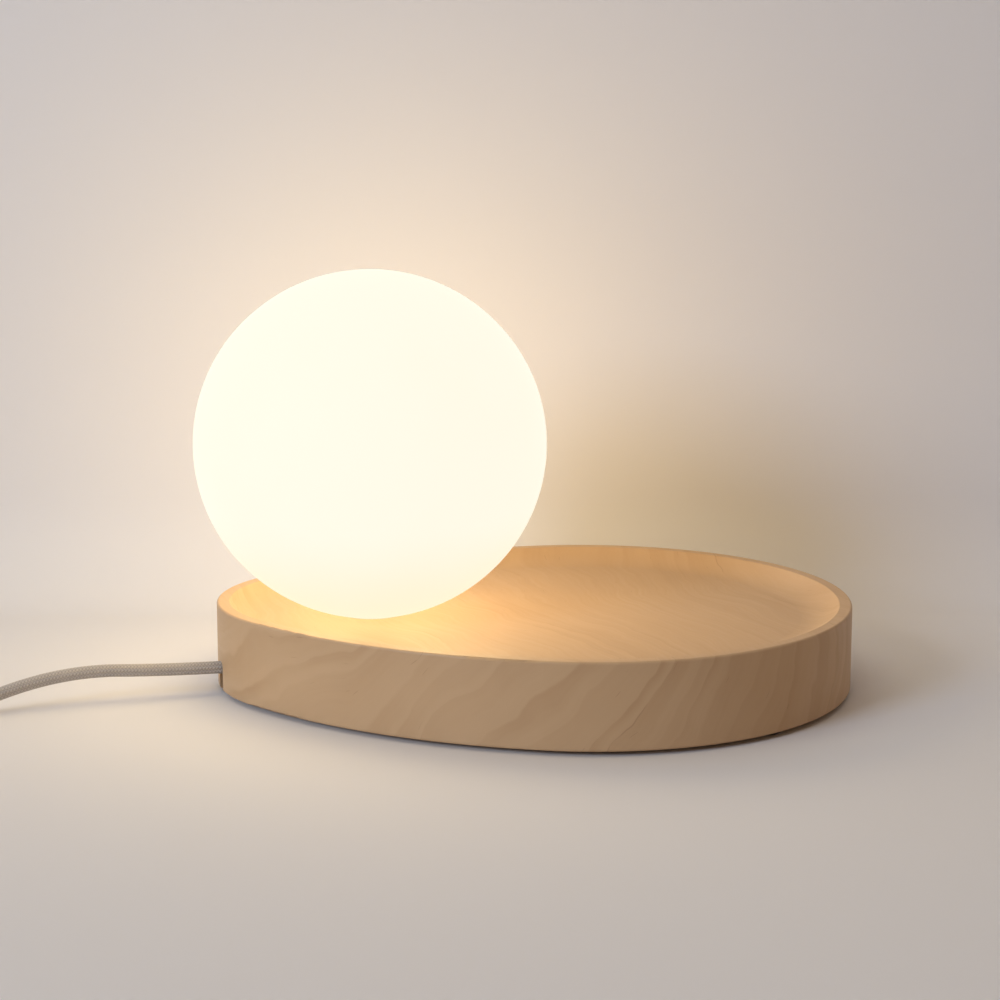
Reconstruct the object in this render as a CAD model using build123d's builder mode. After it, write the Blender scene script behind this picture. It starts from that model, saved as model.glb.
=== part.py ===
import os
from math import acos, atan2, cos, degrees, pi, radians, sin, sqrt, tan

from build123d import *

os.makedirs("parts", exist_ok=True)

# Globe: opal blown glass, a little lower than it is wide
globe_r = 75.0
globe_half_height = 74.1
globe_join_angle = 45.0
globe_wall = 3.0
globe_sink = 0.9
neck_r = 12.0
neck_wall = 2.0
neck_play = 1.6

# Base: egg plan of four tangent arcs, dished on top with a flat lip
base_length = 272.0
base_height = 35.7
big_end_r = 113.5
small_end_r = 66.4
side_r = 215.0
lip_width = 5.4
dish_depth = 6.5
cove_r = 22.0
outer_ease = 1.0
lip_ease = 0.5

# Feet
foot_height = 2.0
foot_r = 8.0
foot_inset = 12.0
small_end_foot_angle = 112.0
big_end_foot_angle = 48.0

# Pocket under the globe, its cover and the hole up to the dish
pocket_r = 40.0
pocket_depth = 13.0
cover_ledge = 6.0
cover_thickness = 1.6
cover_play = 0.3

# Collar that carries the globe
flange_r = 30.0
flange_thickness = 2.0
collar_screw_circle_r = 24.5
collar_screw_count = 3
collar_screw_angle = 60.0
collar_wall = 1.0
collar_height = 14.0
thread_pitch = 4.0
thread_turns = 2.0
thread_width = 1.4
thread_bite = 0.4
thread_height = 1.2
thread_gap = 0.6
thread_start = 3.5
seal_thickness = 2.0
seal_play = 0.4

# Lampholder and its two contacts
holder_play = 0.2
holder_height = 13.0
pin_spacing = 9.0
slot_length = 4.4
slot_depth = 11.0
contact_width = 3.6
contact_thickness = 0.5
contact_height = 8.0
contact_gap = 0.1
holder_screw_spacing = 9.2

# Bulb
bulb_base_r = 6.6
bulb_base_height = 15.0
bulb_r = 8.0
bulb_height = 35.0
bulb_wall = 1.2
bulb_pin_width = 3.6
bulb_pin_thickness = 1.0
bulb_pin_length = 9.5
board_width = 9.0
board_thickness = 1.2
board_height = 26.0
led_side = 3.0
led_thickness = 0.8
led_rows = 4
led_pitch = 5.5

# Wires and terminal block inside the base
lead_r = 0.9
core_r = 1.0
core_half_gap = 1.25
block_length = 14.0
block_width = 18.0
block_height = 7.0
block_near = 15.5
terminal_height = 3.5
sleeve_r = 1.9
sleeve_bore_r = 1.25
sleeve_inset = 1.0
wire_reach = 4.0
terminal_screw_r = 0.9
terminal_screw_inset = 3.2

# Screws
screw_head_r = 2.8
screw_head_height = 1.6
screw_shank_r = 1.4
screw_slot_width = 0.7
screw_slot_depth = 0.7
wood_grip = 9.0
holder_grip = 7.0
cover_head_height = 1.2
cover_screw_count = 4
cover_screw_angle = 45.0
hole_play = 0.1
fit_gap = 0.05
small_gap = 0.3

# Cord: where it leaves the base and how it is held there
cord_r = 2.65
cord_angle = 18.0
cord_height = 11.4
channel_play = 0.45
cord_inner_end = 38.0
cord_exit_run = 18.0
bend_share = 0.45
clamp_place = 55.0
clamp_length = 10.0
clamp_width = 22.0
clamp_thickness = 1.5
clamp_screw_spacing = 14.0

# Switch on the cord
switch_x = -322.5
switch_y = -90.6
switch_heading = 194.0
switch_length = 58.0
switch_width = 24.0
switch_height = 16.0
switch_wall = 1.8
switch_cord_height = 5.6
switch_cord_reach = 8.0
switch_cord_run = 13.0
switch_bottom_ease = 1.5
switch_top_ease = 3.0
switch_screw_x = 14.0
switch_screw_y = 7.5
switch_boss_r = 3.4
switch_screw_r = 1.2
switch_head_r = 2.1
switch_head_height = 1.3
switch_head_sink = 0.5
rocker_tilt = 8.0
rocker_half_length = 7.5
rocker_width = 9.0
rocker_crown = 6.0
rocker_dip = 4.6
rocker_heel = 3.5
rocker_heel_half = 2.0
rocker_waist_half = 7.0
rocker_gap = 0.5
pivot_height = 11.0
pivot_r = 1.0
ear_thickness = 2.0
ear_half_length = 4.0
ear_drop = 5.2
blade_thickness = 0.8
blade_width = 6.0
blade_half_gap = 3.0
blade_tab_height = 5.0

# Coil of spare cord, in two layers
coil_x = -370.5
coil_y = 12.0
coil_outer_r = 42.0
coil_step = 5.9
coil_half_turns_in = 7
coil_half_turns_out = 6
tie_thickness = 0.8
tie_width = 8.0
tie_gap = 0.3
tie_inner_gap = 1.0
tie_corner_r = 2.5

# Plug
plug_x = -351.0
plug_y = 86.5
plug_height = 6.85
sleeve_length = 24.0
sleeve_start_r = 3.6
sleeve_end_r = 5.4
plug_length = 34.0
plug_width = 26.0
plug_thickness = 13.7
plug_corner_r = 4.0
plug_front_ease = 1.2
plug_pin_r = 2.0
plug_pin_length = 19.0
plug_pin_spacing = 18.6
plug_pin_tip_ease = 1.2

# Levels, from the table up
base_z = foot_height
rim_z = base_z + base_height
floor_z = rim_z - dish_depth
ceiling_z = base_z + pocket_depth
flange_z = ceiling_z - flange_thickness
seal_top_z = ceiling_z + seal_thickness
globe_bottom_z = floor_z - globe_sink
globe_z = globe_bottom_z + globe_half_height
holder_top_z = ceiling_z + holder_height
contact_z = holder_top_z - slot_depth
bulb_base_top_z = holder_top_z + bulb_base_height
block_z = flange_z - block_height
terminal_z = block_z + terminal_height

# Plan: the origin is midway between the globe's far side and the base's wide end
wide_end_x = (base_length + globe_r - small_end_r) / 2
big_x = wide_end_x - big_end_r
globe_x = wide_end_x - base_length + small_end_r

# Side arcs touch both end arcs: their centre from the three distances
end_gap = big_x - globe_x
big_reach = side_r - big_end_r
small_reach = side_r - small_end_r
side_shift = (big_reach**2 - small_reach**2 + end_gap**2) / (2 * end_gap)
side_x = big_x - side_shift
side_y = sqrt(big_reach**2 - side_shift**2)
big_turn = degrees(atan2(side_y, big_x - side_x))
small_turn = degrees(atan2(side_y, globe_x - side_x))

# Planes: inside the base the first axis points along the cord's way out
exit_turn = radians(180.0 + cord_angle)
exit_way = (cos(exit_turn), sin(exit_turn), 0)
inner = Plane(origin=(globe_x, 0, 0), x_dir=exit_way, z_dir=(0, 0, 1))
across = Plane(origin=inner.origin, x_dir=inner.y_dir, z_dir=inner.x_dir)
globe_side = Plane(origin=inner.origin, x_dir=inner.x_dir, z_dir=-inner.y_dir)
globe_axis = Axis((globe_x, 0, 0), (0, 0, 1))
switch_turn = radians(switch_heading)
switch_way = (cos(switch_turn), sin(switch_turn), 0)
switch_plane = Plane(origin=(switch_x, switch_y, 0), x_dir=switch_way, z_dir=(0, 0, 1))
switch_end = Plane(origin=switch_plane.origin, x_dir=switch_plane.y_dir, z_dir=switch_plane.x_dir)
switch_side = Plane(origin=switch_plane.origin, x_dir=switch_plane.x_dir, z_dir=-switch_plane.y_dir)

# Radii that nest round the globe's axis, from the neck inwards
neck_bore_r = neck_r - neck_wall
neck_hole_r = neck_r + neck_play
collar_r = neck_bore_r - thread_height - thread_gap
holder_r = collar_r - collar_wall - holder_play

pin_y = pin_spacing / 2
screw_hole_r = screw_shank_r + hole_play
cover_r = pocket_r + cover_ledge - cover_play
cover_screw_circle_r = pocket_r + cover_ledge / 2
clamp_top_z = cord_height - cord_r - fit_gap
clamp_z = clamp_top_z - clamp_thickness


def egg(inset):
    with BuildSketch() as plan:
        with BuildLine():
            CenterArc((big_x, 0), big_end_r - inset, -big_turn, 2 * big_turn)
            CenterArc((side_x, -side_y), side_r - inset, big_turn, small_turn - big_turn)
            CenterArc((globe_x, 0), small_end_r - inset, small_turn, 360 - 2 * small_turn)
            CenterArc((side_x, side_y), side_r - inset, 360 - small_turn, small_turn - big_turn)
        make_face()
    return plan.sketch


def spots_round(radius, count, first):
    turns = [radians(first + 360 * k / count) for k in range(count)]
    return [(radius * cos(turn), radius * sin(turn)) for turn in turns]


def screws(plane, spots, seat, grip, shank_r, head_r, head_height):
    with BuildPart() as fasteners:
        with BuildSketch(plane.offset(seat - head_height)):
            with Locations(*spots):
                Circle(head_r)
        extrude(amount=head_height)
        with BuildSketch(plane.offset(seat)):
            with Locations(*spots):
                Circle(shank_r)
        extrude(amount=grip)
        with BuildSketch(plane.offset(seat - head_height)):
            with Locations(*spots):
                Rectangle(3 * head_r, screw_slot_width)
        extrude(amount=screw_slot_depth, mode=Mode.SUBTRACT)
    return fasteners.part


def bend_radii(points):
    spots = [Vector(*point) for point in points]
    radii = []
    for before, here, after in zip(spots, spots[1:], spots[2:]):
        way_in = here - before
        way_out = after - here
        shorter = min(way_in.length, way_out.length)
        radii.append(bend_share * shorter / tan(radians(way_in.get_angle(way_out)) / 2))
    return radii


def tube(points, radius, name):
    radii = bend_radii(points)
    with BuildPart() as run:
        with BuildLine() as path:
            FilletPolyline(*points, radius=radii)
        with BuildSketch(Plane(origin=path.wire() @ 0, z_dir=path.wire() % 0)):
            Circle(radius)
        sweep()
    share = run.part.volume / (pi * radius**2 * path.wire().length)
    print(name, "length", round(path.wire().length, 1), "volume share", round(share, 4))
    print(name, "bend radii", [round(value, 1) for value in radii])
    return run.part


def thread(mid_r, radial, start):
    with BuildPart() as rib:
        with BuildLine() as path:
            Helix(thread_pitch, thread_pitch * thread_turns, mid_r, center=(globe_x, 0, start))
        with BuildSketch(Plane(origin=path.wire() @ 0, x_dir=(1, 0, 0), z_dir=path.wire() % 0)):
            Rectangle(radial, thread_width)
        sweep(is_frenet=True)
    return rib.part


# Wood base
with BuildPart() as dish:
    cove_start = cove_r - sqrt(cove_r**2 - (cove_r - dish_depth) ** 2)
    with BuildSketch(Plane.XY.offset(floor_z)):
        add(egg(lip_width - cove_start))
    extrude(amount=cove_r + dish_depth)
    fillet(dish.faces().sort_by(Axis.Z)[0].edges(), cove_r)

collar_spots = spots_round(collar_screw_circle_r, collar_screw_count, collar_screw_angle)
cover_spots = spots_round(cover_screw_circle_r, cover_screw_count, cover_screw_angle)
clamp_spots = [(clamp_place, clamp_screw_spacing / 2), (clamp_place, -clamp_screw_spacing / 2)]
wood_hole_r = screw_shank_r + fit_gap

with BuildPart() as base_tray:
    with BuildSketch(Plane.XY.offset(base_z)):
        add(egg(0))
    extrude(amount=base_height)
    fillet(base_tray.faces().sort_by(Axis.Z)[-1].edges(), outer_ease)
    fillet(base_tray.faces().sort_by(Axis.Z)[0].edges(), outer_ease)
    add(dish.part, mode=Mode.SUBTRACT)
    fillet(base_tray.faces().sort_by(Axis.Z)[-1].inner_wires()[0].edges(), lip_ease)
    with BuildSketch(inner.offset(base_z)):
        Circle(pocket_r + cover_ledge)
    extrude(amount=cover_thickness, mode=Mode.SUBTRACT)
    with BuildSketch(inner.offset(base_z)):
        Circle(pocket_r)
    extrude(amount=pocket_depth, mode=Mode.SUBTRACT)
    with BuildSketch(inner.offset(base_z)):
        Circle(neck_hole_r)
    extrude(amount=base_height, mode=Mode.SUBTRACT)
    with BuildSketch(across.offset(pocket_r - cover_ledge)):
        with Locations((0, cord_height / 2)):
            Rectangle(2 * (cord_r + channel_play), cord_height)
        with Locations((0, cord_height)):
            Circle(cord_r + channel_play)
    extrude(amount=small_end_r - pocket_r + 2 * cover_ledge, mode=Mode.SUBTRACT)
    with BuildSketch(inner.offset(base_z)):
        with Locations((clamp_place, 0)):
            Rectangle(clamp_length + 2 * small_gap, clamp_width + 2 * small_gap)
    extrude(amount=clamp_top_z - base_z, mode=Mode.SUBTRACT)
    with BuildSketch(inner.offset(ceiling_z)):
        with Locations(*collar_spots):
            Circle(wood_hole_r)
    extrude(amount=wood_grip + hole_play, mode=Mode.SUBTRACT)
    with BuildSketch(inner.offset(base_z + cover_thickness)):
        with Locations(*cover_spots):
            Circle(wood_hole_r)
    extrude(amount=wood_grip + hole_play, mode=Mode.SUBTRACT)
    with BuildSketch(inner.offset(clamp_top_z)):
        with Locations(*clamp_spots):
            Circle(wood_hole_r)
    extrude(amount=wood_grip + hole_play, mode=Mode.SUBTRACT)

# Feet under the ends of the base
foot_spots = []
for side in (1, -1):
    small_turn_to_foot = radians(small_end_foot_angle * side)
    big_turn_to_foot = radians(big_end_foot_angle * side)
    small_ring = small_end_r - foot_inset
    big_ring = big_end_r - foot_inset
    foot_spots.append((globe_x + small_ring * cos(small_turn_to_foot), small_ring * sin(small_turn_to_foot)))
    foot_spots.append((big_x + big_ring * cos(big_turn_to_foot), big_ring * sin(big_turn_to_foot)))
with BuildPart() as foot_pads:
    with BuildSketch():
        with Locations(*foot_spots):
            Circle(foot_r)
    extrude(amount=foot_height)

# Cover under the pocket
with BuildPart() as bottom_cover:
    with BuildSketch(inner.offset(base_z)):
        Circle(cover_r)
        with Locations(*cover_spots):
            Circle(screw_hole_r, mode=Mode.SUBTRACT)
    extrude(amount=cover_thickness)

cover_screws = screws(
    inner, cover_spots, base_z, cover_thickness + wood_grip, screw_shank_r, screw_head_r, cover_head_height
)

# Threaded collar with its flange
holder_spots = [(holder_screw_spacing / 2, 0), (-holder_screw_spacing / 2, 0)]
lead_spots = [(0, pin_y), (0, -pin_y)]
block_mid = block_near + block_length / 2
collar_thread_z = ceiling_z + thread_start
with BuildPart() as globe_collar:
    with BuildSketch(inner.offset(flange_z)):
        Circle(flange_r)
        with Locations(*collar_spots, *holder_spots, (block_mid, 0)):
            Circle(screw_hole_r, mode=Mode.SUBTRACT)
        with Locations(*lead_spots):
            Circle(lead_r + small_gap, mode=Mode.SUBTRACT)
    extrude(amount=flange_thickness)
    with BuildSketch(inner.offset(ceiling_z)):
        Circle(collar_r)
        Circle(collar_r - collar_wall, mode=Mode.SUBTRACT)
    extrude(amount=collar_height)
    add(thread(collar_r + (thread_height - thread_bite) / 2, thread_height + thread_bite, collar_thread_z))

collar_screws = screws(
    inner,
    collar_spots,
    flange_z,
    flange_thickness + wood_grip,
    screw_shank_r,
    screw_head_r,
    screw_head_height,
)

# Seal ring that rides under the globe's neck
with BuildPart() as neck_seal:
    with BuildSketch(inner.offset(ceiling_z)):
        Circle(neck_r + seal_play)
        Circle(collar_r + thread_height + seal_play, mode=Mode.SUBTRACT)
    extrude(amount=seal_thickness)

# Globe with a short neck, threaded inside half a pitch above the collar's thread
neck_thread_z = collar_thread_z + thread_pitch / 2
join_turn = radians(globe_join_angle)
side_share = (1 - cos(join_turn)) / sin(join_turn)
cap_share = cos(join_turn) - side_share * (1 - sin(join_turn))
globe_cap_r = (globe_r - side_share * globe_half_height) / cap_share
globe_side_r = (globe_half_height - globe_cap_r * (1 - sin(join_turn))) / sin(join_turn)
cap_shift = globe_half_height - globe_cap_r


def globe_half(inset, foot_r):
    cap_r = globe_cap_r - inset
    foot_angle = degrees(acos(foot_r / cap_r))
    CenterArc((0, globe_z - cap_shift), cap_r, -foot_angle, foot_angle - globe_join_angle)
    CenterArc((globe_r - globe_side_r, globe_z), globe_side_r - inset, -globe_join_angle, 2 * globe_join_angle)
    CenterArc((0, globe_z + cap_shift), cap_r, globe_join_angle, 90 - globe_join_angle)
    return globe_z - cap_shift - cap_r * sin(radians(foot_angle))


with BuildPart() as globe:
    with BuildSketch(globe_side):
        with BuildLine():
            outer_join_z = globe_half(0, neck_r)
            bore_join_z = globe_half(globe_wall, neck_bore_r)
            Line((neck_r, seal_top_z), (neck_r, outer_join_z))
            Line((0, globe_z + globe_half_height), (0, globe_z + globe_half_height - globe_wall))
            Line((neck_bore_r, bore_join_z), (neck_bore_r, seal_top_z))
            Line((neck_bore_r, seal_top_z), (neck_r, seal_top_z))
        make_face()
    revolve(axis=globe_axis)
    add(thread(neck_bore_r - (thread_height - thread_bite) / 2, thread_height + thread_bite, neck_thread_z))

# Lampholder with two slots for the bulb's pins
slot_inner_y = pin_y - bulb_pin_thickness / 2 - contact_gap - contact_thickness - fit_gap
slot_outer_y = pin_y + bulb_pin_thickness / 2 + small_gap
slot_spots = [(0, side * (slot_inner_y + slot_outer_y) / 2) for side in (1, -1)]
with BuildPart() as lampholder:
    with BuildSketch(inner.offset(ceiling_z)):
        Circle(holder_r)
    extrude(amount=holder_height)
    with BuildSketch(inner.offset(contact_z)):
        with Locations(*slot_spots):
            Rectangle(slot_length, slot_outer_y - slot_inner_y)
    extrude(amount=slot_depth, mode=Mode.SUBTRACT)
    with BuildSketch(inner.offset(ceiling_z)):
        with Locations(*lead_spots):
            Circle(lead_r + hole_play)
    extrude(amount=contact_z - ceiling_z, mode=Mode.SUBTRACT)
    with BuildSketch(inner.offset(ceiling_z)):
        with Locations(*holder_spots):
            Circle(screw_shank_r + fit_gap)
    extrude(amount=holder_grip + hole_play, mode=Mode.SUBTRACT)

contact_y = slot_inner_y + fit_gap + contact_thickness / 2
with BuildPart() as holder_contacts:
    with BuildSketch(inner.offset(contact_z)):
        with Locations((0, contact_y), (0, -contact_y)):
            Rectangle(contact_width, contact_thickness)
    extrude(amount=contact_height)

holder_screws = screws(
    inner,
    holder_spots,
    flange_z,
    flange_thickness + holder_grip,
    screw_shank_r,
    screw_head_r,
    screw_head_height,
)

# Bulb: base, two flat pins, board with light points, frosted envelope
with BuildPart() as bulb_base:
    with BuildSketch(inner.offset(holder_top_z)):
        Circle(bulb_base_r)
    extrude(amount=bulb_base_height)
    fillet(bulb_base.edges().group_by(Axis.Z)[0], screw_slot_width)

with BuildPart() as bulb_pins:
    with BuildSketch(inner.offset(holder_top_z)):
        with Locations(*lead_spots):
            Rectangle(bulb_pin_width, bulb_pin_thickness)
    extrude(amount=-bulb_pin_length)

with BuildPart() as bulb_board:
    with BuildSketch(inner.offset(bulb_base_top_z)):
        Rectangle(board_width, board_thickness)
    extrude(amount=board_height)
    led_z = bulb_base_top_z + board_height / 2
    board_face = Plane(origin=inner.origin, x_dir=inner.x_dir, z_dir=-inner.y_dir)
    with BuildSketch(board_face.offset(board_thickness / 2)):
        with Locations((0, led_z)):
            with GridLocations(led_pitch, led_pitch, 1, led_rows):
                Rectangle(led_side, led_side)
    extrude(amount=led_thickness)

with BuildPart() as bulb_envelope:
    envelope_wall_height = bulb_height - bulb_r
    with BuildSketch(inner.offset(bulb_base_top_z)):
        Circle(bulb_r)
    extrude(amount=bulb_height)
    fillet(bulb_envelope.edges().group_by(Axis.Z)[-1], bulb_r - bulb_wall)
    with BuildSketch(inner.offset(bulb_base_top_z)):
        Circle(bulb_r - bulb_wall)
    extrude(amount=envelope_wall_height, mode=Mode.SUBTRACT)

# Terminal block under the flange
terminal_spots = [
    (block_near + place, side * pin_y)
    for place in (terminal_screw_inset, block_length - terminal_screw_inset)
    for side in (1, -1)
]
with BuildPart() as terminal_block:
    with BuildSketch(inner.offset(block_z)):
        with Locations((block_mid, 0)):
            Rectangle(block_length, block_width)
    extrude(amount=block_height)
    with BuildSketch(across.offset(block_near)):
        with Locations((pin_y, terminal_z), (-pin_y, terminal_z)):
            Circle(sleeve_r + fit_gap)
    extrude(amount=block_length, mode=Mode.SUBTRACT)
    with BuildSketch(inner.offset(block_z)):
        with Locations(*terminal_spots):
            Circle(terminal_screw_r + hole_play)
    extrude(amount=terminal_height, mode=Mode.SUBTRACT)
    with BuildSketch(inner.offset(block_z)):
        with Locations((block_mid, 0)):
            Circle(screw_hole_r)
    extrude(amount=block_height, mode=Mode.SUBTRACT)

with BuildPart() as terminal_sleeves:
    with BuildSketch(across.offset(block_near + sleeve_inset)):
        with Locations((pin_y, terminal_z), (-pin_y, terminal_z)):
            Circle(sleeve_r)
            Circle(sleeve_bore_r, mode=Mode.SUBTRACT)
    extrude(amount=block_length - 2 * sleeve_inset)
    with BuildSketch(inner.offset(block_z)):
        with Locations(*terminal_spots):
            Circle(terminal_screw_r + fit_gap)
    extrude(amount=terminal_height, mode=Mode.SUBTRACT)

with BuildPart() as terminal_screws:
    with BuildSketch(inner.offset(block_z)):
        with Locations(*terminal_spots):
            Circle(terminal_screw_r)
    extrude(amount=terminal_height - core_r - fit_gap)

block_screw = screws(
    inner,
    [(block_mid, 0)],
    block_z,
    block_height + flange_thickness,
    screw_shank_r,
    screw_head_r,
    screw_head_height,
)


def inner_wire(points, name, radius):
    return tube([inner.from_local_coords(point) for point in points], radius, name)


def both_sides(points, name, radius):
    with BuildPart() as pair:
        for side in (1, -1):
            add(inner_wire([(x, side * y, z) for x, y, z in points], name, radius))
    return pair.part


lead_end = block_near + sleeve_inset + wire_reach
core_end = block_near + block_length - sleeve_inset - wire_reach
core_bend = block_near + block_length + sleeve_inset
holder_leads = both_sides(
    [(lead_end, pin_y, terminal_z), (0, pin_y, terminal_z), (0, pin_y, contact_z)], "holder lead", lead_r
)
cord_cores = both_sides(
    [
        (cord_inner_end, core_half_gap, cord_height),
        (cord_inner_end - 3 * core_r, core_half_gap, cord_height),
        (core_bend + core_r, pin_y, terminal_z),
        (core_end, pin_y, terminal_z),
    ],
    "cord core",
    core_r,
)

# Strap that holds the cord in its channel
with BuildPart() as cord_clamp:
    with BuildSketch(inner.offset(clamp_z)):
        with Locations((clamp_place, 0)):
            RectangleRounded(clamp_length, clamp_width, clamp_length / 4)
        with Locations(*clamp_spots):
            Circle(screw_hole_r, mode=Mode.SUBTRACT)
    extrude(amount=clamp_thickness)

clamp_screws = screws(
    inner, clamp_spots, clamp_z, clamp_thickness + wood_grip, screw_shank_r, screw_head_r, screw_head_height
)

# Switch shells: two halves that meet at the cord's height
switch_spots = [(switch_screw_x, -switch_screw_y), (-switch_screw_x, switch_screw_y)]
rocker_turn = radians(rocker_tilt)
rocker_sweep = rocker_half_length * cos(rocker_turn) + rocker_crown * sin(rocker_turn)
ear_y = rocker_width / 2 + rocker_gap + ear_thickness / 2
inner_length = switch_length - 2 * switch_wall
inner_width = switch_width - 2 * switch_wall
with BuildPart() as switch_lower_shell:
    with BuildSketch(switch_plane):
        SlotOverall(switch_length, switch_width)
    extrude(amount=switch_cord_height)
    fillet(switch_lower_shell.faces().sort_by(Axis.Z)[0].edges(), switch_bottom_ease)
    with BuildSketch(switch_plane.offset(switch_wall)):
        SlotOverall(inner_length, inner_width)
        with Locations(*switch_spots):
            Circle(switch_boss_r, mode=Mode.SUBTRACT)
    extrude(amount=switch_cord_height, mode=Mode.SUBTRACT)
    with BuildSketch(switch_end.offset(-switch_length / 2)):
        with Locations((0, switch_cord_height)):
            Circle(cord_r + hole_play)
    extrude(amount=switch_length, mode=Mode.SUBTRACT)
    with BuildSketch(switch_plane):
        with Locations(*switch_spots):
            Circle(switch_screw_r + hole_play)
    extrude(amount=switch_cord_height, mode=Mode.SUBTRACT)
    with BuildSketch(switch_plane):
        with Locations(*switch_spots):
            Circle(switch_head_r + small_gap)
    extrude(amount=switch_head_sink + switch_head_height, mode=Mode.SUBTRACT)

upper_height = switch_height - switch_cord_height
with BuildPart() as switch_upper_shell:
    with BuildSketch(switch_plane.offset(switch_cord_height)):
        SlotOverall(switch_length, switch_width)
    extrude(amount=upper_height)
    fillet(switch_upper_shell.faces().sort_by(Axis.Z)[-1].edges(), switch_top_ease)
    with BuildSketch(switch_plane.offset(switch_cord_height)):
        SlotOverall(inner_length, inner_width)
        with Locations(*switch_spots):
            Circle(switch_boss_r, mode=Mode.SUBTRACT)
    extrude(amount=upper_height - switch_wall, mode=Mode.SUBTRACT)
    with BuildSketch(switch_plane.offset(switch_height - switch_wall)):
        with Locations((0, ear_y), (0, -ear_y)):
            Rectangle(2 * ear_half_length, ear_thickness)
    extrude(amount=-ear_drop)
    with BuildSketch(switch_plane.offset(switch_cord_height)):
        Rectangle(2 * (rocker_sweep + rocker_gap), rocker_width + 2 * rocker_gap)
    extrude(amount=upper_height, mode=Mode.SUBTRACT)
    with BuildSketch(switch_side.offset(-ear_y - ear_thickness)):
        with Locations((0, pivot_height)):
            Circle(pivot_r + fit_gap)
    extrude(amount=2 * (ear_y + ear_thickness), mode=Mode.SUBTRACT)
    with BuildSketch(switch_end.offset(-switch_length / 2)):
        with Locations((0, switch_cord_height)):
            Circle(cord_r + hole_play)
    extrude(amount=switch_length, mode=Mode.SUBTRACT)
    with BuildSketch(switch_plane.offset(switch_cord_height)):
        with Locations(*switch_spots):
            Circle(switch_screw_r + fit_gap)
    extrude(amount=upper_height - switch_wall, mode=Mode.SUBTRACT)

switch_seat = switch_head_sink + switch_head_height
switch_grip = switch_height - 2 * switch_wall - switch_seat
switch_screws = screws(
    switch_plane, switch_spots, switch_seat, switch_grip, switch_screw_r, switch_head_r, switch_head_height
)

with BuildPart() as switch_pin:
    with BuildSketch(switch_side.offset(-ear_y - ear_thickness / 2)):
        with Locations((0, pivot_height)):
            Circle(pivot_r)
    extrude(amount=2 * ear_y + ear_thickness)

# Rocker, tipped to the on side
rocker_origin = switch_plane.from_local_coords((0, 0, pivot_height))
rocker_way = switch_plane.x_dir * cos(rocker_turn) + switch_plane.z_dir * sin(rocker_turn)
rocker_plane = Plane(origin=rocker_origin, x_dir=rocker_way, z_dir=switch_side.z_dir)
with BuildPart() as switch_rocker:
    with BuildSketch(rocker_plane.offset(-rocker_width / 2)):
        with BuildLine():
            Polyline(
                (-rocker_half_length, rocker_crown),
                (0, rocker_dip),
                (rocker_half_length, rocker_crown),
                (rocker_waist_half, 0),
                (rocker_heel_half, -rocker_heel),
                (-rocker_heel_half, -rocker_heel),
                (-rocker_waist_half, 0),
                close=True,
            )
        make_face()
        Circle(pivot_r + fit_gap, mode=Mode.SUBTRACT)
    extrude(amount=rocker_width)

# Contact blades on the switch's floor, each with a tab up to the cord's end
blade_far = switch_length / 2 - switch_cord_reach
blade_length = blade_far - blade_half_gap
with BuildPart() as switch_contacts:
    for side in (1, -1):
        with BuildSketch(switch_plane.offset(switch_wall)):
            with Locations((side * (blade_half_gap + blade_length / 2), 0)):
                Rectangle(blade_length, blade_width)
        extrude(amount=blade_thickness)
        with BuildSketch(switch_plane.offset(switch_wall)):
            with Locations((side * (blade_far - blade_thickness / 2), 0)):
                Rectangle(blade_thickness, blade_width)
        extrude(amount=blade_tab_height)

# Cord from the base to the switch: points chosen along its way over the table
cord_floor = cord_r + hole_play
exit_reach = small_end_r + cord_exit_run
switch_near = switch_length / 2 - switch_cord_reach
switch_far = switch_length / 2 + switch_cord_run
lead_points = [
    inner.from_local_coords((cord_inner_end, 0, cord_height)),
    inner.from_local_coords((exit_reach, 0, cord_height)),
    (-192.0, -39.1, 15.1),
    (-236.0, -60.7, cord_floor),
    (-260.0, -72.5, cord_floor),
    switch_plane.from_local_coords((-switch_far, 0, switch_cord_height)),
    switch_plane.from_local_coords((-switch_near, 0, switch_cord_height)),
]
cord_lead = tube(lead_points, cord_r, "cord lead")

# Coil of spare cord: half turns that draw in, one that climbs, then half turns that widen
coil_low_z = tie_thickness + tie_gap + cord_r
coil_high_z = coil_low_z + coil_step
cord_diameter = 2 * cord_r


def coil_ends():
    x = -coil_outer_r
    z = coil_low_z
    half_turns = []
    for k in range(coil_half_turns_in + 1 + coil_half_turns_out):
        inward = min(k, coil_half_turns_in)
        outward = max(0, k - coil_half_turns_in)
        radius = coil_outer_r - (inward - outward) * coil_step / 2
        side = 1 if k % 2 == 0 else -1
        climb = coil_step if k == coil_half_turns_in else 0.0
        half_turns.append((x, z, side, radius, climb))
        x = x + 2 * side * radius
        z = z + climb
    return half_turns, x


half_turns, coil_end_x = coil_ends()
coil_start_x = coil_x - coil_outer_r
coil_stop_x = coil_x + coil_end_x
with BuildPart() as cord_coil:
    with BuildLine() as coil_path:
        Line((coil_start_x, coil_y - cord_diameter, coil_low_z), (coil_start_x, coil_y, coil_low_z))
        for x, z, side, radius, climb in half_turns:
            start = Vector(coil_x + x, coil_y, z)
            stop = Vector(coil_x + x + 2 * side * radius, coil_y, z + climb)
            heading = Vector(0, side, 0)
            reach = (stop - start).length / 2
            crest = (start + stop) * 0.5 + heading * reach
            TangentArc(start, crest, tangent=heading)
            TangentArc(crest, stop, tangent=(stop - start))
        Line((coil_stop_x, coil_y, coil_high_z), (coil_stop_x, coil_y + cord_diameter, coil_high_z))
    with BuildSketch(Plane(origin=coil_path.wire() @ 0, z_dir=coil_path.wire() % 0)):
        Circle(cord_r)
    sweep()

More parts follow.
